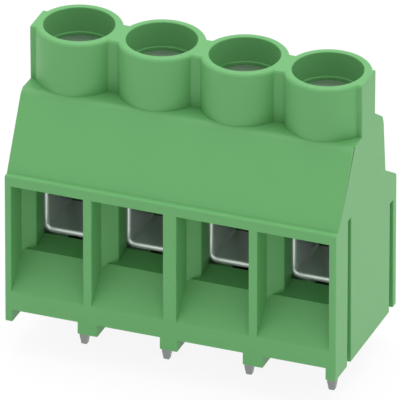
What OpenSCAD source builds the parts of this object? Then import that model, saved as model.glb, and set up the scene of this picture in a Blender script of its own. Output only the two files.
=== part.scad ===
// Screw terminal block for printed circuit boards, four poles in two locked modules.
// In each pole a captive screw lifts a folded tension sleeve, which clamps the wire
// against a fixed current bar that leads down to two solder pins.
// Z = 0 is the board, Y = 0 the row of screws, X = 0 the joint between the modules.
// The wire entries face -Y. All sizes are in millimetres.

/* [Row] */
// Distance between neighbouring poles
pole_pitch = 10.16; // [10.0:0.01:12.7]

/* [Housing profile] */
// Depth of the housing from the wire side to the rear
body_depth = 19.86; // [19:0.01:24]
// Distance of the screw row behind the front face
axis_setback = 10.77; // [10.4:0.01:11.5]
// Height of the upright front frame
front_height = 19; // [18.5:0.1:20]
// Depth of the ledge on top of the front frame
frame_ledge = 0.67; // [0.4:0.01:1.2]
// Height of the shelf that the chimneys stand on
shelf_height = 27.6; // [27.4:0.1:30]
// Distance of the shelf's front edge behind the front face
shelf_setback = 5.37; // [4:0.01:5.6]
// Height of the chimneys and the web between them
top_height = 34.3; // [33:0.1:40]
// Distance from the screw row to the web's front face
web_front = 2.5; // [1.5:0.1:3]
// Distance from the screw row to the web's rear face
web_rear = 1.9; // [1.5:0.05:3]
// Height of the low block at the rear
rear_block_height = 17.1; // [16.8:0.1:18]
// Height where the rear block meets the upper rear wall
rear_step_height = 19.36; // [18.5:0.01:21]
// Distance from the screw row to the upper rear wall
rear_wall = 5.47; // [5.3:0.01:6.5]

/* [Walls and feet] */
// Thickness of a module's left wall beside the wire entry
left_wall = 0.79; // [0.7:0.01:1]
// Thickness of a module's right wall beside the wire entry
right_wall = 0.88; // [0.8:0.01:1]
// Thickness of the wall between the two wire entries
divider_wall = 1.08; // [0.8:0.01:1.3]
// Width of the left foot rail
left_foot = 0.92; // [0.7:0.01:1.2]
// Width of the middle foot rail
middle_foot = 2.5; // [1.5:0.1:2.8]
// Width of the right foot rail
right_foot = 1.27; // [1.1:0.01:1.4]
// Height of the foot rails
foot_height = 1.5; // [1:0.1:2]

/* [Wire entry] */
// Height of the sill at the front of the wire ramp
sill_height = 3.9; // [3.5:0.1:5]
// Height of the wire ramp's rear edge
ramp_height = 7.95; // [7.8:0.05:8.1]
// Length of the wire ramp
ramp_length = 3.6; // [3.4:0.1:3.9]
// Height of the lintel over the wire entry
lintel_height = 17.7; // [17:0.1:18]
// Width of the throat that guides the wire into the sleeve
throat_width = 5.76; // [5.2:0.01:6]
// Distance of the throat's mouth behind the front face
throat_setback = 4.45; // [4.3:0.01:5]
// Depth gained per unit of width by the slanted cheeks
cheek_slope = 0.8; // [0.6:0.05:0.9]

/* [Screw chimney] */
// Outer radius of a chimney
chimney_r = 5.12; // [5.1:0.01:5.3]
// Radius of the screwdriver bore
driver_bore_r = 4.13; // [4.05:0.01:4.3]
// Depth of the screwdriver bore down to its ledge
driver_bore_depth = 3.1; // [2.5:0.1:3.3]
// Rounding of the chimney's outer rim
rim_rounding = 0.45; // [0.2:0.05:0.6]

/* [Clamping screw] */
// Thread radius
thread_r = 2; // [1.5:0.1:2.1]
// Radius of the screw head
head_r = 3.84; // [3.5:0.01:3.84]
// Thickness of the screw head
head_thickness = 2.4; // [2:0.1:2.4]
// Height of the screw head's top face
head_top = 30.9; // [30.7:0.1:31]
// Width of the driver slot
slot_width = 1.2; // [1:0.1:1.4]
// Depth of the driver slot
slot_depth = 1.3; // [1:0.1:1.5]

/* [Tension sleeve] */
// Thickness of the folded strip
strip_t = 0.8; // [0.6:0.05:0.85]
// Clear width inside the sleeve
window_width = 5; // [4.8:0.1:5]
// Length of the sleeve along the wire
sleeve_length = 7.3; // [6.5:0.1:7.3]
// Height of the sleeve's inner floor with the clamp open
sleeve_floor = 9.2; // [9.1:0.1:9.5]
// Height of the top of the threaded collar with the clamp open
collar_top = 20.7; // [20:0.1:20.7]
// Outer radius of the threaded collar
collar_r = 3; // [2.8:0.1:3.1]

/* [Contact] */
// Thickness of the contact sheet
sheet_t = 1; // [0.8:0.1:1]
// Width of the current bar
bar_width = 4.4; // [4:0.1:4.6]
// Height of the current bar's underside
bar_height = 15.5; // [15.3:0.1:15.5]
// Height of the base strip's underside
base_height = 4.2; // [3.6:0.1:4.3]
// Width of a solder pin
pin_width = 1; // [0.8:0.1:1]
// Length of the solder pins below the board face
pin_length = 4; // [3.5:0.1:5]
// Distance of the front solder pin before the screw row
front_pin_ahead = 5.66; // [5.4:0.01:5.7]

/* [Interlock] */
// Depth of the grooves in a module's right side
groove_depth = 0.75; // [0.5:0.05:0.75]
// Clearance between a tongue and its groove
tongue_clearance = 0.05; // [0.03:0.01:0.1]

/* [Hidden] */

round_fn = 72;
arc_steps = 5;
over = 1;                       // how far a cutter runs past the face it cuts

housing_green = [0.43, 0.67, 0.43];
steel_grey = [0.62, 0.66, 0.63];
tin_grey = [0.72, 0.73, 0.71];

poles_per_module = 2;
module_width = poles_per_module * pole_pitch;

front_y = -axis_setback;
rear_y = front_y + body_depth;

// Side profile of the housing: y, z and corner radius of each point
frame_rounding = 0.25;
shelf_rounding = 1.2;
web_rounding = 0.4;
shoulder_rounding = 2;
shoulder_rise = 1;              // foot of the web's rear face above the shelf
shoulder_drop = 0.9;            // rear shoulder below the shelf
wall_draft = 0.76;              // the upper rear wall leans forward by this much
side_profile = [
    [front_y, 0, 0],
    [front_y, front_height, frame_rounding],
    [front_y + frame_ledge, front_height, 0],
    [front_y + shelf_setback, shelf_height, shelf_rounding],
    [-web_front, shelf_height, 0],
    [-web_front, top_height, web_rounding],
    [web_rear, top_height, web_rounding],
    [web_rear, shelf_height + shoulder_rise, 0],
    [rear_wall - wall_draft, shelf_height - shoulder_drop, shoulder_rounding],
    [rear_wall, rear_step_height, 0],
    [rear_y, rear_block_height, 0],
    [rear_y, 0, 0]
];

// Wire entry
throat_y = front_y + throat_setback;
throat_dip = 0.3;               // step down behind the ramp's edge
throat_run_in = 0.15;           // length of that step
throat_floor_end = 8.45;        // throat floor where it meets the sleeve
throat_ceiling = 15.25;

// Shaft that the sleeve slides in
shaft_gap = 0.15;
shaft_x = window_width / 2 + strip_t + shaft_gap;
shaft_y = sleeve_length / 2 + shaft_gap;
shaft_square_top = 24.9;
shaft_round_top = 27;
shaft_round_r = collar_r + 0.3;

// Screw seat
seat_gap = 0.1;
ledge_height = top_height - driver_bore_depth;
seat_height = head_top - head_thickness - seat_gap;
head_recess_r = head_r + 0.11;
shank_hole_r = thread_r + 0.3;
head_chamfer = 0.15;
tip_chamfer = 0.5;

// Sleeve
sleeve_half = window_width / 2 + strip_t;
window_top = bar_height + sheet_t + 0.15;
fold_top = window_top + 2 * strip_t;
fold_end_gap = 0.7;             // the outer layer ends short of the corner
inner_bend = 0.4;
outer_bend = inner_bend + strip_t;
thread_gap = 0.05;
lead_in = 0.3;                  // chamfer round the sleeve's window and the collar

// Contact
bar_top = bar_height + sheet_t;
leg_front = shaft_y + 0.4;
leg_rear = leg_front + sheet_t;
base_front = front_pin_ahead + pin_width / 2;
pin_x = bar_width / 2 + 0.6;
sheet_bend = sheet_t + 0.3;
pin_taper = 1.1;
pin_tip = 0.68;

// Interlock: front and rear edge behind the front face, and height
grooves = [[3.89, 4.95, 19.0], [17.64, 18.8, 14.24]];

// ---- helpers ----

function unit(v) = v / norm(v);

// Points of a corner b between a and c, rounded to radius r
function corner(a, b, c, r) =
    r == 0 ? [b] :
    let (u = unit(a - b), v = unit(c - b),
         half = acos(u * v) / 2,
         centre = b + unit(u + v) * r / sin(half),
         p = b + u * r / tan(half) - centre,
         q = b + v * r / tan(half) - centre,
         start = atan2(p[1], p[0]),
         turn = atan2(p[0] * q[1] - p[1] * q[0], p * q))
    [for (i = [0 : arc_steps]) let (t = start + turn * i / arc_steps)
        centre + r * [cos(t), sin(t)]];

// Outline through rows of [x, y, corner radius]
function rounded(rows) =
    let (n = len(rows), p = [for (row = rows) [row[0], row[1]]])
    [for (i = [0 : n - 1]) each corner(p[(i + n - 1) % n], p[i], p[(i + 1) % n], rows[i][2])];

// Extrudes a [y, z] outline along X
module along_x(x0, x1) {
    translate([x0, 0, 0]) rotate([90, 0, 90]) linear_extrude(x1 - x0) children();
}

// Extrudes an [x, z] outline along Y
module along_y(y0, y1) {
    translate([0, y1, 0]) rotate([90, 0, 0]) linear_extrude(y1 - y0) children();
}

// Box between two corners
module block(low, high) {
    translate(low) cube(high - low);
}

// Position of the pole with this number, counted from 1 at the left
function pole_x(pole) = pole_pitch * (pole - poles_per_module - 0.5);

// ---- housing ----

// Clear width of each wire entry, as [left edge, right edge] in the module
function entry_edges(pole) =
    pole == 0 ? [left_wall, pole_pitch - divider_wall / 2]
              : [pole_pitch + divider_wall / 2, module_width - right_wall];

// Gap between the foot rails, in the same form
function foot_gap(pole) =
    pole == 0 ? [left_foot, pole_pitch - middle_foot / 2]
              : [pole_pitch + middle_foot / 2, module_width - right_foot];

module chimney() {
    base = shelf_height - over;
    outline = concat([[0, base], [chimney_r, base]],
        corner([chimney_r, base], [chimney_r, top_height], [0, top_height], rim_rounding),
        [[0, top_height]]);
    rotate_extrude($fn = round_fn) polygon(outline);
}

// Funnel with a ramp and two slanted cheeks, then the throat up to the shaft
module wire_way(edges, centre) {
    near = [centre - throat_width / 2, centre + throat_width / 2];
    cheek = [throat_y - cheek_slope * (near[0] - edges[0]),
             throat_y - cheek_slope * (edges[1] - near[1])];
    intersection() {
        linear_extrude(lintel_height + over)
            polygon([[edges[0], front_y - over], [edges[0], cheek[0]], [near[0], throat_y],
                     [near[0], 0], [near[1], 0], [near[1], throat_y],
                     [edges[1], cheek[1]], [edges[1], front_y - over]]);
        ramp_slope = (ramp_height - sill_height) / ramp_length;
        along_x(edges[0] - over, edges[1] + over)
            polygon([[front_y - over, sill_height - over * ramp_slope],
                     [front_y + ramp_length, ramp_height],
                     [front_y + ramp_length + throat_run_in, ramp_height - throat_dip],
                     [-shaft_y, throat_floor_end], [0, throat_floor_end], [0, throat_ceiling],
                     [throat_y, throat_ceiling], [front_y, lintel_height],
                     [front_y - over, lintel_height]]);
    }
}

// Everything cut on a screw's axis, from the driver bore down to the open shaft
module screw_shaft() {
    translate([0, 0, ledge_height])
        cylinder(r = driver_bore_r, h = driver_bore_depth + over, $fn = round_fn);
    translate([0, 0, seat_height])
        cylinder(r = head_recess_r, h = ledge_height - seat_height + over / 2, $fn = round_fn);
    translate([0, 0, shaft_square_top])
        cylinder(r = shank_hole_r, h = head_top - shaft_square_top, $fn = round_fn);
    translate([0, 0, shaft_square_top - over])
        cylinder(r = shaft_round_r, h = shaft_round_top - shaft_square_top + over,
                 $fn = round_fn);
    block([-shaft_x, -shaft_y, -over], [shaft_x, shaft_y, shaft_square_top]);
}

// Seat of the contact, open from below: rear leg, base strip and both pins
module contact_seat() {
    half = bar_width / 2;
    tab = pin_x + pin_width / 2;
    block([-half, 0, -over], [half, leg_rear, bar_top]);
    block([-half, -base_front, -over], [half, 0, base_height + sheet_t]);
    block([0, -base_front, -over], [tab, pin_width - base_front, base_height + sheet_t]);
    block([-tab, 0, -over], [0, leg_rear, base_height + sheet_t]);
}

module tongue(row) {
    block([-groove_depth + tongue_clearance, front_y + row[0] + tongue_clearance, 0],
          [over / 2, front_y + row[1] - tongue_clearance, row[2] - tongue_clearance]);
}

module groove(row) {
    block([module_width - groove_depth, front_y + row[0], -over],
          [module_width + over, front_y + row[1], row[2]]);
}

module housing_module() {
    difference() {
        union() {
            along_x(0, module_width) polygon(rounded(side_profile));
            intersection() {
                for (pole = [0 : poles_per_module - 1])
                    translate([(pole + 0.5) * pole_pitch, 0, 0]) chimney();
                block([0, front_y, 0], [module_width, rear_y, top_height]);
            }
            for (row = grooves) tongue(row);
        }
        for (pole = [0 : poles_per_module - 1]) {
            centre = (pole + 0.5) * pole_pitch;
            gap = foot_gap(pole);
            wire_way(entry_edges(pole), centre);
            translate([centre, 0, 0]) screw_shaft();
            translate([centre, 0, 0]) contact_seat();
            block([gap[0], front_y - over, -over], [gap[1], rear_y + over, foot_height]);
        }
        for (row = grooves) groove(row);
    }
}

module housing_left() {
    color(housing_green) translate([-module_width, 0, 0]) housing_module();
}

module housing_right() {
    color(housing_green) housing_module();
}

// ---- clamping screw ----

module clamp_screw(pole) {
    tip = bar_top + seat_gap;
    head_base = head_top - head_thickness;
    color(steel_grey) translate([pole_x(pole), 0, 0]) difference() {
        rotate_extrude($fn = round_fn)
            polygon([[0, tip], [thread_r - tip_chamfer, tip], [thread_r, tip + tip_chamfer],
                     [thread_r, head_base], [head_r, head_base],
                     [head_r, head_top - head_chamfer], [head_r - head_chamfer, head_top],
                     [0, head_top]]);
        block([-head_r - over, -slot_width / 2, head_top - slot_depth],
              [head_r + over, slot_width / 2, head_top + over]);
    }
}

// ---- tension sleeve ----

// Ring folded from a strip, with both ends laid over each other on top
module sleeve_outline() {
    polygon(rounded([
        [-sleeve_half, sleeve_floor - strip_t, outer_bend],
        [sleeve_half, sleeve_floor - strip_t, outer_bend],
        [sleeve_half, window_top + strip_t, outer_bend],
        [sleeve_half - outer_bend - fold_end_gap, window_top + strip_t, 0],
        [sleeve_half - outer_bend - fold_end_gap, fold_top, 0],
        [-sleeve_half, fold_top, outer_bend]]));
}

module tension_sleeve(pole) {
    color(steel_grey) translate([pole_x(pole), 0, 0]) difference() {
        union() {
            along_y(-sleeve_length / 2, sleeve_length / 2) sleeve_outline();
            translate([0, 0, window_top + strip_t])
                cylinder(r = collar_r, h = collar_top - window_top - strip_t, $fn = round_fn);
        }
        along_y(-sleeve_length, sleeve_length)
            polygon(rounded([
                [-window_width / 2, sleeve_floor, inner_bend],
                [window_width / 2, sleeve_floor, inner_bend],
                [window_width / 2, window_top, inner_bend],
                [-window_width / 2, window_top, inner_bend]]));
        translate([0, 0, window_top - over])
            cylinder(r = thread_r + thread_gap, h = collar_top - window_top + 2 * over,
                     $fn = round_fn);
    }
}

// ---- contact ----

// Bar, rear leg and base strip in one C-shaped fold
module contact_fold() {
    bar_front = shaft_y - 0.2;
    outer = sheet_bend;
    inner = sheet_bend - sheet_t;
    polygon(rounded([
        [-bar_front, bar_height, 0],
        [leg_front, bar_height, inner],
        [leg_front, base_height + sheet_t, inner],
        [-base_front, base_height + sheet_t, 0],
        [-base_front, base_height, 0],
        [leg_rear, base_height, outer],
        [leg_rear, bar_top, outer],
        [-bar_front, bar_top, 0]]));
}

// Square pin down to its tapered tip, made of two crossed wedges
module solder_pin() {
    wedge = [[-pin_width / 2, base_height + sheet_t / 2],
             [-pin_width / 2, pin_taper - pin_length],
             [-pin_tip / 2, -pin_length], [pin_tip / 2, -pin_length],
             [pin_width / 2, pin_taper - pin_length],
             [pin_width / 2, base_height + sheet_t / 2]];
    intersection() {
        along_y(-pin_width / 2, pin_width / 2) polygon(wedge);
        along_x(-pin_width / 2, pin_width / 2) polygon(wedge);
    }
}

module contact(pole) {
    half = bar_width / 2;
    tab = pin_x + pin_width / 2;
    color(tin_grey) translate([pole_x(pole), 0, 0]) {
        along_x(-half, half) contact_fold();
        block([half - sheet_t, -base_front, base_height],
              [tab, pin_width - base_front, base_height + sheet_t]);
        block([-tab, leg_front, base_height], [sheet_t - half, leg_rear, base_height + sheet_t]);
        translate([pin_x, pin_width / 2 - base_front, 0]) solder_pin();
        translate([-pin_x, leg_rear - pin_width / 2, 0]) solder_pin();
    }
}

housing_left();
housing_right();
clamp_screw(1);  // clamp_screw_1
clamp_screw(2);  // clamp_screw_2
clamp_screw(3);  // clamp_screw_3
clamp_screw(4);  // clamp_screw_4
tension_sleeve(1);  // tension_sleeve_1
tension_sleeve(2);  // tension_sleeve_2
tension_sleeve(3);  // tension_sleeve_3
tension_sleeve(4);  // tension_sleeve_4
contact(1);  // contact_1
contact(2);  // contact_2
contact(3);  // contact_3
contact(4);  // contact_4
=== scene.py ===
"""Dresses the four-pole screw terminal block for its pictures and its visual model.

The block stands on its solder pins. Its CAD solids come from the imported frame. Each one is
replaced by a finished piece of the same form: rounded mouldings, threaded screws, folded
and plated sheet metal.
"""

import math

import bmesh
import bpy
from bpy.props import FloatProperty, FloatVectorProperty, IntProperty, PointerProperty
from mathutils import Matrix, Vector


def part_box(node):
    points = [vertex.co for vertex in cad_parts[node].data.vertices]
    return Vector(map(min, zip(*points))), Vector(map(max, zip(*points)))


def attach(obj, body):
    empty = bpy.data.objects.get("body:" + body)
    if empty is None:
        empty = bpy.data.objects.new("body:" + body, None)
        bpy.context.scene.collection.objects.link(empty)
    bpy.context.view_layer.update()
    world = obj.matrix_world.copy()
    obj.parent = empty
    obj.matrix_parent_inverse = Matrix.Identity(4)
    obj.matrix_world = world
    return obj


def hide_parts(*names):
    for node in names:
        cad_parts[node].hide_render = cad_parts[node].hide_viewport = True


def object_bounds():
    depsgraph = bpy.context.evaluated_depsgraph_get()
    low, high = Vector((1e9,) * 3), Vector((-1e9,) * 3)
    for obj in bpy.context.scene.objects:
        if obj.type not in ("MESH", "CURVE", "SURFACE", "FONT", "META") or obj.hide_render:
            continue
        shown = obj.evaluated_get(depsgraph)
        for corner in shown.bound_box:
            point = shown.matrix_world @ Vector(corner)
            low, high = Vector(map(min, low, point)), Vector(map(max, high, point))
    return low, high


bl_info = {
    "name": "Screw terminal block",
    "version": (1, 0, 0),
    "blender": (4, 5, 0),
    "location": "View3D > Sidebar > Terminal",
    "description": "Finishes the housings, screws, sleeves and contacts of a terminal block",
    "category": "Object",
}

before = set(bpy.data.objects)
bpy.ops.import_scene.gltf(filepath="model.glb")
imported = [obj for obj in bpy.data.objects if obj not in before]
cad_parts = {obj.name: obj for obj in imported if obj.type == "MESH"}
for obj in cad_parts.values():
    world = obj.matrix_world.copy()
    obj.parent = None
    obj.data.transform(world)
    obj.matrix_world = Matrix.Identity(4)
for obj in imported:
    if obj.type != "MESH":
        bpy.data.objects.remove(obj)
CAD_LOW, CAD_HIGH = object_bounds()

MM = 0.001
SQUARE_MM = MM * MM
BEYOND = 2 * MM                 # how far a cutter runs past what it cuts
WHITE = (1, 1, 1, 1)
POLES = (1, 2, 3, 4)


# ---- settings ----

class HousingSettings(bpy.types.PropertyGroup):
    """Moulded polyamide of both housing modules."""

    colour: FloatVectorProperty(
        name="Colour", description="Body colour of the moulding", subtype="COLOR",
        size=3, min=0, max=1, default=(0.125, 0.37, 0.128))
    edge_radius: FloatProperty(
        name="Edge radius", description="Rounding of the moulded edges",
        unit="LENGTH", min=0, default=0.14 * MM)
    roughness: FloatProperty(
        name="Roughness", description="Gloss of the moulded surface, 0 is a mirror",
        subtype="FACTOR", min=0, max=1, default=0.42)


class ScrewSettings(bpy.types.PropertyGroup):
    """Turned and rolled clamping screws."""

    pitch: FloatProperty(
        name="Thread pitch", description="Rise of the thread in one turn",
        unit="LENGTH", min=0.1 * MM, default=0.7 * MM)
    thread_radius: FloatProperty(
        name="Thread radius", description="Radius of the thread's crest",
        unit="LENGTH", min=0, default=2 * MM)
    thread_depth: FloatProperty(
        name="Thread depth", description="Depth of the thread below its crest",
        unit="LENGTH", min=0, default=0.38 * MM)
    plain_length: FloatProperty(
        name="Plain length", description="Length without thread at the head and in it",
        unit="LENGTH", min=0, default=1.1 * MM)
    head_thickness: FloatProperty(
        name="Head thickness", description="Thickness of the screw head",
        unit="LENGTH", min=0, default=2.4 * MM)
    tip_chamfer: FloatProperty(
        name="Tip chamfer", description="Chamfer of the screw's tip",
        unit="LENGTH", min=0, default=0.5 * MM)
    edge_radius: FloatProperty(
        name="Edge radius", description="Rounding of the slot's edges",
        unit="LENGTH", min=0, default=0.08 * MM)
    around: IntProperty(
        name="Segments", description="Segments around the screw", min=16, default=48)
    rows: IntProperty(
        name="Rows per turn", description="Rows of faces in one turn of the thread",
        min=4, default=8)


class SleeveSettings(bpy.types.PropertyGroup):
    """Strip of plated steel, folded into the tension sleeves."""

    colour: FloatVectorProperty(
        name="Colour", description="Colour of the plated steel", subtype="COLOR",
        size=3, min=0, max=1, default=(0.88, 0.92, 0.92))
    thickness: FloatProperty(
        name="Thickness", description="Thickness of the strip",
        unit="LENGTH", min=0.1 * MM, default=0.8 * MM)
    edge_radius: FloatProperty(
        name="Edge radius", description="Rounding of the strip's cut edges",
        unit="LENGTH", min=0, default=0.35 * MM)
    lead_in: FloatProperty(
        name="Lead-in", description="Chamfer round the mouth of the sleeve",
        unit="LENGTH", min=0, default=0.1 * MM)
    fold_height: FloatProperty(
        name="Fold height", description="From the middle of the floor to the middle of the top",
        unit="LENGTH", min=0, default=9.05 * MM)
    fold_end: FloatProperty(
        name="Fold end", description="Where the outer layer ends, from the screw axis",
        unit="LENGTH", default=1.4 * MM)
    layer_gap: FloatProperty(
        name="Layer gap", description="Gap between the two layers on top",
        unit="LENGTH", min=0.01 * MM, default=0.02 * MM)
    collar_radius: FloatProperty(
        name="Collar radius", description="Outer radius of the threaded collar",
        unit="LENGTH", min=0, default=3 * MM)
    collar_bore: FloatProperty(
        name="Collar bore", description="Radius of the bore in the collar",
        unit="LENGTH", min=0, default=2.05 * MM)
    collar_rim: FloatProperty(
        name="Collar rim", description="Rounding of the collar's top edge",
        unit="LENGTH", min=0, default=0.3 * MM)
    around: IntProperty(
        name="Segments", description="Segments around the collar", min=16, default=48)
    bend_steps: IntProperty(
        name="Bend steps", description="Points of each rounded bend", min=1, default=6)
    edge_steps: IntProperty(
        name="Edge steps", description="Points of each rounded edge", min=1, default=5)


class ContactSettings(bpy.types.PropertyGroup):
    """Sheet of tinned copper, folded into the contacts, its colour darkened as painted shade.
    """

    # The colour is set well below bright tin. This is painted shade for the shadowed floor that
    # the pins reflect.
    colour: FloatVectorProperty(
        name="Colour", description="Colour of the tin plating", subtype="COLOR",
        size=3, min=0, max=1, default=(0.27, 0.29, 0.28))
    edge_radius: FloatProperty(
        name="Edge radius", description="Rounding of the contact's cut edges",
        unit="LENGTH", min=0, default=0.07 * MM)


class StageSettings(bpy.types.PropertyGroup):
    """Camera, lamp and floor."""

    azimuth: FloatProperty(
        name="Azimuth", description="Camera angle round the block from its front",
        subtype="ANGLE", default=math.radians(20.976))
    elevation: FloatProperty(
        name="Elevation", description="Camera angle above the horizon",
        subtype="ANGLE", default=math.radians(28.598))
    view_width: FloatProperty(
        name="View width", description="Width of the view where the block stands",
        unit="LENGTH", min=1 * MM, default=46.12 * MM)
    aim_right: FloatProperty(
        name="Aim right", description="View centre to the right of the board face's centre",
        unit="LENGTH", default=-0.385 * MM)
    aim_up: FloatProperty(
        name="Aim up", description="View centre above the board face's centre",
        unit="LENGTH", default=12.54 * MM)
    lens: FloatProperty(
        name="Focal length", description="Focal length of the lens in millimetres",
        min=50, default=1600)
    top_light: FloatProperty(
        name="Top light", description="Power of the soft lamp overhead",
        unit="POWER", min=0, default=1.5)
    lamp_width: FloatProperty(
        name="Lamp width", description="Diameter of the soft lamp",
        unit="LENGTH", min=0, default=0.5)
    lamp_place: FloatVectorProperty(
        name="Lamp place", description="Centre of the soft lamp", subtype="XYZ",
        unit="LENGTH", size=3, default=(0, 0.1, 0.5))
    daylight: FloatProperty(
        name="Surrounding light", description="Level of the surroundings ahead and behind",
        min=0, default=0.46)
    side_light: FloatProperty(
        name="Side light", description="What the surroundings gain towards left and right",
        min=0, default=0.76)
    sky_light: FloatProperty(
        name="Sky light", description="What the surroundings gain towards the zenith",
        min=0, default=0.9)
    floor_width: FloatProperty(
        name="Floor width", description="Width and depth of the floor",
        unit="LENGTH", min=0, default=3)
    floor_glow: FloatProperty(
        name="Floor glow", description="Share of plain white in the floor as it is seen",
        subtype="FACTOR", min=0, max=1, default=0.9)
    floor_colour: FloatVectorProperty(
        name="Floor colour", description="Colour of the floor", subtype="COLOR",
        size=3, min=0, max=1, default=(0.95, 0.95, 0.95))


# ---- node trees ----

def link(tree, source, target):
    """Joins two sockets."""
    tree.links.new(source, target)


def feed(tree, socket, value):
    """Links an input to the value where that is a socket, or else sets it."""
    if isinstance(value, bpy.types.NodeSocket):
        link(tree, value, socket)
    else:
        socket.default_value = value


def add_node(tree, kind, inputs=(), **properties):
    """Adds a node with these properties and these {input: socket or value}."""
    node = tree.nodes.new(kind)
    for name, value in properties.items():
        setattr(node, name, value)
    for key, value in dict(inputs).items():
        feed(tree, node.inputs[key], value)
    return node


def calculate(tree, operation, *values):
    """Math node on sockets or numbers: returns its output."""
    node = add_node(tree, "ShaderNodeMath", enumerate(values), operation=operation)
    return node.outputs[0]


def map_range(tree, value, low, high, to_low=0.0, to_high=1.0):
    """Clamped linear map of the value from low..high."""
    node = add_node(tree, "ShaderNodeMapRange", enumerate((value, low, high, to_low, to_high)))
    return node.outputs[0]


# ---- materials ----

def new_material(name):
    """Empty material with its principled shader: returns (material, tree, shader)."""
    material = bpy.data.materials.new(name)
    material.use_nodes = True
    tree = material.node_tree
    return material, tree, tree.nodes["Principled BSDF"]


def object_noise(tree, size, detail, stretch=(1, 1, 1)):
    """Noise with features of about that size in metres, on object coordinates."""
    coordinates = add_node(tree, "ShaderNodeTexCoord")
    mapping = add_node(tree, "ShaderNodeMapping", {
        "Vector": coordinates.outputs["Object"], "Scale": stretch})
    noise = add_node(tree, "ShaderNodeTexNoise", {
        "Vector": mapping.outputs["Vector"], "Scale": 1 / size, "Detail": detail})
    return noise.outputs["Fac"]


def vary_colour(tree, shader, pattern, colour, spread):
    """Base colour that the pattern makes darker and lighter by that share."""
    mix = add_node(tree, "ShaderNodeMix", {"Factor": pattern}, data_type="RGBA")
    dark, light = (socket for socket in mix.inputs if socket.type == "RGBA")
    dark.default_value = (*(part * (1 - spread) for part in colour), 1)
    light.default_value = (*(min(1, part * (1 + spread)) for part in colour), 1)
    painted, = (socket for socket in mix.outputs if socket.type == "RGBA")
    link(tree, painted, shader.inputs["Base Color"])


def vary_roughness(tree, shader, pattern, middle, spread):
    """Roughness that the pattern moves by up to the spread either way."""
    link(tree, map_range(tree, pattern, 0, 1, middle - spread, middle + spread),
         shader.inputs["Roughness"])


def add_bump(tree, shader, pattern, height):
    """Relief of that height in metres."""
    bump = add_node(tree, "ShaderNodeBump", {"Height": pattern, "Distance": height})
    link(tree, bump.outputs["Normal"], shader.inputs["Normal"])


def moulded_polyamide(settings):
    """Green polyamide with a fine satin texture and faint clouding."""
    material, tree, shader = new_material("green_polyamide")
    cloud_size, grain_size = 6 * MM, 0.12 * MM
    vary_colour(tree, shader, object_noise(tree, cloud_size, 3), settings.colour, 0.025)
    grain = object_noise(tree, grain_size, 2)
    vary_roughness(tree, shader, grain, settings.roughness, 0.05)
    add_bump(tree, shader, grain, 0.004 * MM)
    shader.inputs["IOR"].default_value = 1.35
    return material


def plated_sheet(name, colour, metallic, roughness, rolling):
    """Plated sheet metal with fine rolling lines, which run where rolling is below 1."""
    material, tree, shader = new_material(name)
    line_width = 0.08 * MM
    lines = object_noise(tree, line_width, 2, rolling)
    vary_colour(tree, shader, lines, colour, 0.03)
    vary_roughness(tree, shader, lines, roughness, 0.04)
    add_bump(tree, shader, lines, 0.0004 * MM)
    shader.inputs["Metallic"].default_value = metallic
    return material


def turned_steel(pole):
    """Zinc-plated steel with turning rings round the axis of one screw."""
    material, tree, shader = new_material(f"turned_steel_{pole}")
    ring_width = 0.9 * MM
    centre = pole_centre(pole)
    coordinates = add_node(tree, "ShaderNodeTexCoord")
    mapping = add_node(tree, "ShaderNodeMapping", {
        "Vector": coordinates.outputs["Object"], "Location": (-centre.x, -centre.y, 0)})
    rings = add_node(tree, "ShaderNodeTexWave", {
        "Vector": mapping.outputs["Vector"], "Scale": 1 / ring_width, "Distortion": 0.6,
        "Detail": 2}, wave_type="RINGS", rings_direction="Z").outputs["Fac"]
    vary_roughness(tree, shader, rings, 0.36, 0.06)
    add_bump(tree, shader, rings, 0.004 * MM)
    shader.inputs["Base Color"].default_value = (0.55, 0.57, 0.56, 1)
    shader.inputs["Metallic"].default_value = 1
    return material


# ---- meshes ----

def add_object(name, mesh, material=None):
    """Puts the mesh into the scene, painted with the material."""
    piece = bpy.data.objects.new(name, mesh)
    bpy.context.scene.collection.objects.link(piece)
    if material is not None:
        mesh.materials.clear()
        mesh.materials.append(material)
    return piece


def bake_modifiers(piece):
    """Turns the evaluated piece into a plain mesh and drops its modifiers."""
    graph = bpy.context.evaluated_depsgraph_get()
    mesh = bpy.data.meshes.new_from_object(piece.evaluated_get(graph))
    piece.modifiers.clear()
    old = piece.data
    piece.data = mesh
    bpy.data.meshes.remove(old)
    return piece


def solid_copy(node, name):
    """Mesh of a CAD node with its doubles merged and its flat faces whole."""
    same_place, flat = 0.001 * MM, math.radians(0.5)
    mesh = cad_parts[node].data.copy()
    mesh.name = name
    work = bmesh.new()
    work.from_mesh(mesh)
    bmesh.ops.remove_doubles(work, verts=work.verts, dist=same_place)
    bmesh.ops.dissolve_limit(work, angle_limit=flat, verts=work.verts, edges=work.edges)
    work.to_mesh(mesh)
    work.free()
    return mesh


def outer_edges(work, least_face, keep_sharp=None):
    """Convex sharp edges between faces of at least that area, apart from those kept sharp."""
    sharp = math.radians(35)

    def chosen(edge):
        return (edge.is_manifold and edge.is_convex and edge.calc_face_angle() > sharp
                and min(face.calc_area() for face in edge.link_faces) > least_face
                and not (keep_sharp and all(keep_sharp(v.co) for v in edge.verts)))
    return [edge for edge in work.edges if chosen(edge)]


def round_edges(mesh, radius, least_face, keep_sharp=None):
    """Rounds the chosen edges in three steps."""
    same_place = 0.0005 * MM
    work = bmesh.new()
    work.from_mesh(mesh)
    bmesh.ops.bevel(work, geom=outer_edges(work, least_face, keep_sharp), offset=radius,
                    offset_type="OFFSET", segments=3, profile=0.5, affect="EDGES",
                    clamp_overlap=False, miter_outer="SHARP", miter_inner="SHARP")
    bmesh.ops.remove_doubles(work, verts=work.verts, dist=same_place)
    work.to_mesh(mesh)
    work.free()


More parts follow.
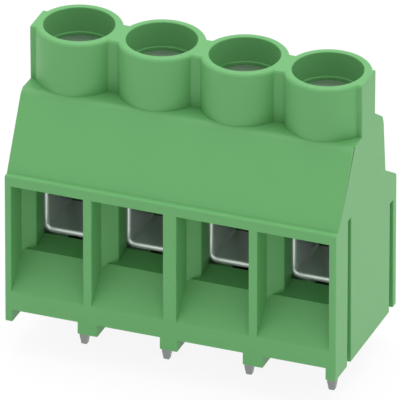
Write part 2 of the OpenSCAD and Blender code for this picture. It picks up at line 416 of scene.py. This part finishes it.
def shade(piece):
    """Smooth shading between faces that meet at less than 33 degrees.

    Large flat faces stay flat. The facets of a curved surface, which lie up to 8 degrees
    apart, all count the same.
    """
    mesh = piece.data
    smooth, facet = (math.cos(math.radians(angle)) for angle in (33, 8))
    faces_at = [[] for _ in mesh.vertices]
    for polygon in mesh.polygons:
        polygon.use_smooth = True
        for vertex in polygon.vertices:
            faces_at[vertex].append((polygon.normal.copy(), polygon.area))
    normals = []
    for polygon in mesh.polygons:
        for vertex in polygon.vertices:
            total = Vector()
            for normal, area in faces_at[vertex]:
                likeness = polygon.normal.dot(normal)
                if likeness > smooth:
                    total += normal * (polygon.area if likeness > facet else area)
            normals.append(total.normalized())
    mesh.normals_split_custom_set(normals)


def turned(name, profile, around, axis_x):
    """Upright solid of revolution through these (radius, height) points, from bottom to top."""
    work = bmesh.new()
    rings = []
    for radius, height in profile:
        rings.append([work.verts.new((axis_x + radius * math.cos(2 * math.pi * k / around),
                                      radius * math.sin(2 * math.pi * k / around), height))
                      for k in range(around)])
    for low, high in zip(rings, rings[1:]):
        for k in range(around):
            after = (k + 1) % around
            work.faces.new((low[k], low[after], high[after], high[k]))
    work.faces.new(list(reversed(rings[0])))
    work.faces.new(rings[-1])
    mesh = bpy.data.meshes.new(name)
    work.to_mesh(mesh)
    work.free()
    return mesh


def combine(piece, operation, mesh):
    """Joins the mesh to the piece, or cuts it away."""
    helper = add_object("helper", mesh)
    boolean = piece.modifiers.new("combine", "BOOLEAN")
    boolean.operation = operation
    boolean.solver = "EXACT"
    boolean.object = helper
    bake_modifiers(piece)
    bpy.data.objects.remove(helper)
    bpy.data.meshes.remove(mesh)


def moved_copy(mesh, name, shift):
    """Copy of the mesh, moved by the shift."""
    copy = mesh.copy()
    copy.name = name
    copy.transform(Matrix.Translation(shift))
    return copy


# ---- geometry trees ----

def new_geometry_tree(name, inputs):
    """Tree with these (name, socket kind) inputs: returns (tree, its inputs, its output)."""
    tree = bpy.data.node_groups.new(name, "GeometryNodeTree")
    interface = tree.interface
    interface.new_socket("Geometry", in_out="OUTPUT", socket_type="NodeSocketGeometry")
    for label, kind in (("Geometry", "Geometry"), *inputs, ("Material", "Material")):
        interface.new_socket(label, in_out="INPUT", socket_type=f"NodeSocket{kind}")
    group = add_node(tree, "NodeGroupInput")
    return tree, group.outputs, add_node(tree, "NodeGroupOutput").inputs[0]


def end_tree(tree, inputs, geometry, output):
    """Realises and paints the geometry, and sends it out."""
    real = add_node(tree, "GeometryNodeRealizeInstances", {"Geometry": geometry})
    painted = add_node(tree, "GeometryNodeSetMaterial", {
        "Geometry": real.outputs["Geometry"], "Material": inputs["Material"]})
    link(tree, painted.outputs["Geometry"], output)


def thread_tree():
    """Right-hand thread on a shank about the origin: crests at Radius, roots at Depth below.

    It starts at the tip and runs out over one pitch, below the plain length on top.
    """
    tree, inputs, output = new_geometry_tree("screw_thread", (
        ("Radius", "Float"), ("Depth", "Float"), ("Pitch", "Float"), ("Length", "Float"),
        ("Plain length", "Float"), ("Tip chamfer", "Float"), ("Segments", "Int"),
        ("Rows", "Int")))
    turns = calculate(tree, "DIVIDE", inputs["Length"], inputs["Pitch"])
    rows = calculate(tree, "CEIL", calculate(tree, "MULTIPLY", turns, inputs["Rows"]))
    shank = add_node(tree, "GeometryNodeMeshCylinder", {
        "Vertices": inputs["Segments"], "Side Segments": rows, "Radius": inputs["Radius"],
        "Depth": inputs["Length"]})

    place = add_node(tree, "GeometryNodeInputPosition")
    x, y, z = add_node(tree, "ShaderNodeSeparateXYZ", {0: place.outputs[0]}).outputs
    angle = calculate(tree, "DIVIDE", calculate(tree, "ARCTAN2", y, x), 2 * math.pi)
    phase = calculate(tree, "FRACT", calculate(
        tree, "SUBTRACT", calculate(tree, "DIVIDE", z, inputs["Pitch"]), angle))
    wave = calculate(tree, "ABSOLUTE", calculate(tree, "MULTIPLY_ADD", phase, 2.0, -1.0))
    flat_share = 0.12
    flank = map_range(tree, wave, flat_share, 1 - flat_share)
    half = calculate(tree, "MULTIPLY", inputs["Length"], 0.5)
    plain_from = calculate(tree, "SUBTRACT", half, inputs["Plain length"])
    run_out = map_range(tree, z, calculate(tree, "SUBTRACT", plain_from, inputs["Pitch"]),
                        plain_from, 1.0, 0.0)
    cut = calculate(tree, "MULTIPLY", calculate(tree, "MULTIPLY", flank, run_out),
                    inputs["Depth"])
    above_tip = calculate(tree, "ADD", z, half)
    taper = calculate(tree, "SUBTRACT", inputs["Tip chamfer"], calculate(
        tree, "MINIMUM", above_tip, inputs["Tip chamfer"]))
    radius = calculate(tree, "SUBTRACT", inputs["Radius"],
                       calculate(tree, "MAXIMUM", cut, taper))
    share = calculate(tree, "DIVIDE", radius, inputs["Radius"])
    moved = add_node(tree, "ShaderNodeCombineXYZ", {
        0: calculate(tree, "MULTIPLY", x, share), 1: calculate(tree, "MULTIPLY", y, share),
        2: z})
    shaped = add_node(tree, "GeometryNodeSetPosition", {
        "Geometry": shank.outputs["Mesh"], "Position": moved.outputs[0]})
    end_tree(tree, inputs, shaped.outputs["Geometry"], output)
    return tree


def strip_tree():
    """Sheet strip that follows a folded path, with rounded bends and rounded edges.

    Its inner side is narrower than its outer side by the lead-in at each edge.
    """
    tree, inputs, output = new_geometry_tree("folded_strip", (
        ("Width", "Float"), ("Thickness", "Float"), ("Lead-in", "Float"),
        ("Bend radius", "Float"), ("Edge radius", "Float"), ("Bend steps", "Int"),
        ("Edge steps", "Int")))
    path = add_node(tree, "GeometryNodeMeshToCurve", {"Mesh": inputs["Geometry"]})
    bends = add_node(tree, "GeometryNodeFilletCurve", {
        "Curve": path.outputs["Curve"], "Radius": inputs["Bend radius"],
        "Count": inputs["Bend steps"]}, mode="POLY")
    inner_width = calculate(tree, "MULTIPLY_ADD", inputs["Lead-in"], -2.0, inputs["Width"])
    section = add_node(tree, "GeometryNodeCurvePrimitiveQuadrilateral", {
        "Bottom Width": inputs["Width"], "Top Width": inner_width,
        "Height": inputs["Thickness"], "Offset": 0}, mode="TRAPEZOID")
    edges = add_node(tree, "GeometryNodeFilletCurve", {
        "Curve": section.outputs["Curve"], "Radius": inputs["Edge radius"],
        "Count": inputs["Edge steps"]}, mode="POLY")
    strip = add_node(tree, "GeometryNodeCurveToMesh", {
        "Curve": bends.outputs["Curve"], "Profile Curve": edges.outputs["Curve"],
        "Fill Caps": True})
    end_tree(tree, inputs, strip.outputs["Mesh"], output)
    return tree


def grow(name, tree, values, mesh=None):
    """Plain mesh piece made by a tree, with its inputs set by name."""
    piece = add_object(name, mesh or bpy.data.meshes.new(name))
    modifier = piece.modifiers.new(tree.name, "NODES")
    modifier.node_group = tree
    for socket in tree.interface.items_tree:
        if socket.in_out == "INPUT" and socket.name in values:
            modifier[socket.identifier] = values[socket.name]
    return bake_modifiers(piece)


def path_mesh(name, points):
    """Open polyline through the points."""
    mesh = bpy.data.meshes.new(name)
    mesh.from_pydata(points, [(k, k + 1) for k in range(len(points) - 1)], [])
    return mesh


def fit(piece, node, body):
    """Lets the finished piece stand for its CAD node."""
    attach(piece, body)
    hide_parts(node)


def on_joint_plane(point):
    """Whether the point lies between the two modules, which stay sharp there."""
    return abs(point.x) < 0.01 * MM


def pole_centre(pole):
    """Screw axis of a pole, at the head's top."""
    low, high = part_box(f"clamp_screw_{pole}")
    return Vector(((low.x + high.x) / 2, (low.y + high.y) / 2, high.z))


# ---- pieces ----

class TERMINAL_OT_housings(bpy.types.Operator):
    """Both moulded housing modules, with rounded edges"""

    bl_idname = "terminal.housings"
    bl_label = "Housings"

    def execute(self, context):
        settings = context.scene.terminal_housing
        material = moulded_polyamide(settings)
        for side in ("left", "right"):
            node = f"housing_{side}"
            piece = add_object(f"{node}_moulding", solid_copy(node, node), material)
            round_edges(piece.data, settings.edge_radius, SQUARE_MM, on_joint_plane)
            shade(piece)
            fit(piece, node, "block")
        return {"FINISHED"}


class TERMINAL_OT_screws(bpy.types.Operator):
    """Clamping screws"""

    bl_idname = "terminal.screws"
    bl_label = "Clamping screws"

    def execute(self, context):
        settings = context.scene.terminal_screw
        first = POLES[0]
        centre = pole_centre(first)
        low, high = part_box(f"clamp_screw_{first}")
        head_base = high.z - settings.head_thickness
        sunk_in_head = 0.3 * MM
        length = head_base + sunk_in_head - low.z
        shank = grow("shank", thread_tree(), {
            "Radius": settings.thread_radius, "Depth": settings.thread_depth,
            "Pitch": settings.pitch, "Length": length,
            "Plain length": settings.plain_length, "Tip chamfer": settings.tip_chamfer,
            "Segments": settings.around, "Rows": settings.rows})
        shank.data.transform(Matrix.Translation((centre.x, centre.y, low.z + length / 2)))

        screw = add_object("screw", solid_copy(f"clamp_screw_{first}", "screw"))
        round_edges(screw.data, settings.edge_radius, 0.5 * SQUARE_MM)
        cutter_r = 1.25 * settings.thread_radius
        cutter = turned("cutter", ((cutter_r, low.z - BEYOND), (cutter_r, head_base)),
                        settings.around, centre.x)
        combine(screw, "DIFFERENCE", cutter)
        thread = shank.data.copy()
        bpy.data.objects.remove(shank)
        combine(screw, "UNION", thread)

        for pole in POLES:
            node = f"clamp_screw_{pole}"
            shift = pole_centre(pole) - centre
            piece = add_object(f"{node}_turned", moved_copy(screw.data, node, shift),
                               turned_steel(pole))
            shade(piece)
            fit(piece, node, f"screw_{pole}")
        bpy.data.objects.remove(screw)
        return {"FINISHED"}


class TERMINAL_OT_sleeves(bpy.types.Operator):
    """Folded tension sleeves"""

    bl_idname = "terminal.sleeves"
    bl_label = "Tension sleeves"

    def execute(self, context):
        settings = context.scene.terminal_sleeve
        material = plated_sheet("plated_steel", settings.colour, metallic=0.5,
                                roughness=0.25, rolling=(1, 0.1, 1))
        first = POLES[0]
        centre = pole_centre(first)
        low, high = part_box(f"tension_sleeve_{first}")
        thick, gap = settings.thickness, settings.layer_gap
        side = (high.x - low.x) / 2 - thick / 2
        floor = low.z + thick / 2
        outer = floor + settings.fold_height
        inner = outer - thick - gap
        corners = [(-side + thick + gap, inner), (side, inner), (side, floor),
                   (-side, floor), (-side, outer), (settings.fold_end, outer)]
        path = path_mesh("path", [(centre.x + x, 0, z) for x, z in corners])
        sleeve = grow("sleeve", strip_tree(), {
            "Width": high.y - low.y, "Thickness": thick, "Lead-in": settings.lead_in,
            "Bend radius": thick, "Edge radius": settings.edge_radius,
            "Bend steps": settings.bend_steps, "Edge steps": settings.edge_steps,
            "Material": material}, path)
        collar_r, bore_r, rim = (
            settings.collar_radius, settings.collar_bore, settings.collar_rim)
        collar = turned("collar", ((collar_r, inner), (collar_r, high.z - rim),
                                   (collar_r - 0.3 * rim, high.z - 0.3 * rim),
                                   (collar_r - rim, high.z)), settings.around, centre.x)
        combine(sleeve, "UNION", collar)
        bore = turned("bore", ((bore_r, inner - BEYOND), (bore_r, high.z + BEYOND)),
                      settings.around, centre.x)
        combine(sleeve, "DIFFERENCE", bore)
        for pole in POLES:
            node = f"tension_sleeve_{pole}"
            shift = pole_centre(pole) - centre
            piece = add_object(f"{node}_folded", moved_copy(sleeve.data, node, shift),
                               material)
            shade(piece)
            fit(piece, node, f"sleeve_{pole}")
        bpy.data.objects.remove(sleeve)
        return {"FINISHED"}


class TERMINAL_OT_contacts(bpy.types.Operator):
    """Folded contacts with their solder pins"""

    bl_idname = "terminal.contacts"
    bl_label = "Contacts"

    def execute(self, context):
        settings = context.scene.terminal_contact
        # The darkened tin colour paints in the shade that the pins would reflect from the floor
        # under the block.
        material = plated_sheet("tinned_copper_painted_shade", settings.colour, metallic=1,
                                roughness=0.38, rolling=(0.1, 1, 1))
        for pole in POLES:
            node = f"contact_{pole}"
            piece = add_object(f"{node}_folded", solid_copy(node, node), material)
            round_edges(piece.data, settings.edge_radius, 0.2 * SQUARE_MM)
            shade(piece)
            fit(piece, node, "block")
        return {"FINISHED"}


# ---- stage ----

def white_to_viewer(tree, plain, white):
    """Shows the white shader to camera, gloss and clear rays, and the plain one to the rest."""
    path = add_node(tree, "ShaderNodeLightPath").outputs
    camera_or_gloss = calculate(tree, "MAXIMUM", path["Is Camera Ray"], path["Is Glossy Ray"])
    seen = calculate(tree, "MAXIMUM", camera_or_gloss, path["Is Transmission Ray"])
    return add_node(tree, "ShaderNodeMixShader", {0: seen, 1: plain, 2: white}).outputs[0]


def make_world(settings):
    """White surroundings, which light the block most from above and from both sides."""
    world = bpy.data.worlds.new("white_surroundings")
    world.use_nodes = True
    tree = world.node_tree
    tree.nodes.clear()
    direction = add_node(tree, "ShaderNodeTexCoord").outputs["Generated"]
    x, _, z = add_node(tree, "ShaderNodeSeparateXYZ", {0: direction}).outputs
    sideways = calculate(tree, "POWER", calculate(tree, "ABSOLUTE", x), 2.0)
    upward = calculate(tree, "POWER", calculate(tree, "MAXIMUM", z, 0.0), 4.0)
    level = calculate(tree, "MULTIPLY_ADD", sideways, settings.side_light, settings.daylight)
    level = calculate(tree, "MULTIPLY_ADD", upward, settings.sky_light, level)
    light = add_node(tree, "ShaderNodeBackground", {"Color": WHITE, "Strength": level})
    white = add_node(tree, "ShaderNodeBackground", {"Color": WHITE})
    shown = white_to_viewer(tree, light.outputs[0], white.outputs[0])
    add_node(tree, "ShaderNodeOutputWorld", {"Surface": shown})
    bpy.context.scene.world = world


def make_floor(settings):
    """Pale floor under the pin tips, which takes the block's soft shadow."""
    half, height = settings.floor_width / 2, CAD_LOW.z
    mesh = bpy.data.meshes.new("floor")
    corners = [(-half, -half, height), (half, -half, height),
               (half, half, height), (-half, half, height)]
    mesh.from_pydata(corners, [], [(0, 1, 2, 3)])
    material = bpy.data.materials.new("pale_floor")
    material.use_nodes = True
    tree = material.node_tree
    tree.nodes.clear()
    matt = add_node(tree, "ShaderNodeBsdfDiffuse", {"Color": (*settings.floor_colour, 1)})
    white = add_node(tree, "ShaderNodeEmission")
    paler = add_node(tree, "ShaderNodeMixShader", {
        0: settings.floor_glow, 1: matt.outputs[0], 2: white.outputs[0]})
    shown = white_to_viewer(tree, matt.outputs[0], paler.outputs[0])
    add_node(tree, "ShaderNodeOutputMaterial", {"Surface": shown})
    floor = add_object("floor", mesh, material)


def make_lamp(settings):
    """Wide soft lamp overhead, a little behind the block."""
    lamp = bpy.data.lights.new("top_light", "AREA")
    lamp.energy = settings.top_light
    lamp.shape = "DISK"
    lamp.size = settings.lamp_width
    holder = bpy.data.objects.new("top_light", lamp)
    bpy.context.scene.collection.objects.link(holder)
    holder.location = settings.lamp_place
    middle_of_block = Vector((0, 0, 20 * MM))
    from_block = holder.location - middle_of_block
    holder.rotation_euler = from_block.to_track_quat("Z", "Y").to_euler()


def make_camera(settings):
    """Camera that looks down on the block from the front right."""
    azimuth, elevation = settings.azimuth, settings.elevation
    back = Vector((math.sin(azimuth) * math.cos(elevation),
                   -math.cos(azimuth) * math.cos(elevation), math.sin(elevation)))
    right = Vector((math.cos(azimuth), math.sin(azimuth), 0))
    up = back.cross(right)
    data = bpy.data.cameras.new("camera")
    data.lens = settings.lens
    distance = settings.view_width * data.lens / data.sensor_width
    data.clip_start = 0.1
    data.clip_end = 10
    camera = bpy.data.objects.new("camera", data)
    bpy.context.scene.collection.objects.link(camera)
    camera.location = right * settings.aim_right + up * settings.aim_up + back * distance
    camera.rotation_mode = "QUATERNION"
    camera.rotation_quaternion = (-back).to_track_quat("-Z", "Y")
    bpy.context.scene.camera = camera


class TERMINAL_OT_stage(bpy.types.Operator):
    """Camera, lamp, surroundings and floor"""

    bl_idname = "terminal.stage"
    bl_label = "Stage"

    def execute(self, context):
        settings = context.scene.terminal_stage
        context.scene.view_settings.view_transform = "Standard"
        make_camera(settings)
        make_world(settings)
        make_lamp(settings)
        make_floor(settings)
        return {"FINISHED"}


class TERMINAL_PT_pieces(bpy.types.Panel):
    """Lists the pieces of the terminal block"""

    bl_idname = "TERMINAL_PT_pieces"
    bl_label = "Screw terminal block"
    bl_space_type = "VIEW_3D"
    bl_region_type = "UI"
    bl_category = "Terminal"

    def draw(self, context):
        for group, _, operator in PIECES:
            box = self.layout.box()
            box.operator(operator.bl_idname)
            settings = getattr(context.scene, group)
            for name in settings.__annotations__:
                box.prop(settings, name)


PIECES = (
    ("terminal_stage", StageSettings, TERMINAL_OT_stage),
    ("terminal_housing", HousingSettings, TERMINAL_OT_housings),
    ("terminal_screw", ScrewSettings, TERMINAL_OT_screws),
    ("terminal_sleeve", SleeveSettings, TERMINAL_OT_sleeves),
    ("terminal_contact", ContactSettings, TERMINAL_OT_contacts),
)


def register():
    """Adds the settings, the operators and the panel to Blender."""
    for group, settings, operator in PIECES:
        bpy.utils.register_class(settings)
        bpy.utils.register_class(operator)
        setattr(bpy.types.Scene, group, PointerProperty(type=settings))
    bpy.utils.register_class(TERMINAL_PT_pieces)


def unregister():
    """Takes the panel, the operators and the settings out again."""
    bpy.utils.unregister_class(TERMINAL_PT_pieces)
    for group, settings, operator in reversed(PIECES):
        delattr(bpy.types.Scene, group)
        bpy.utils.unregister_class(operator)
        bpy.utils.unregister_class(settings)


def main():
    """Makes the stage and every piece."""
    register()
    bpy.ops.terminal.stage()
    bpy.ops.terminal.housings()
    bpy.ops.terminal.screws()
    bpy.ops.terminal.sleeves()
    bpy.ops.terminal.contacts()


if __name__ == "__main__":
    main()
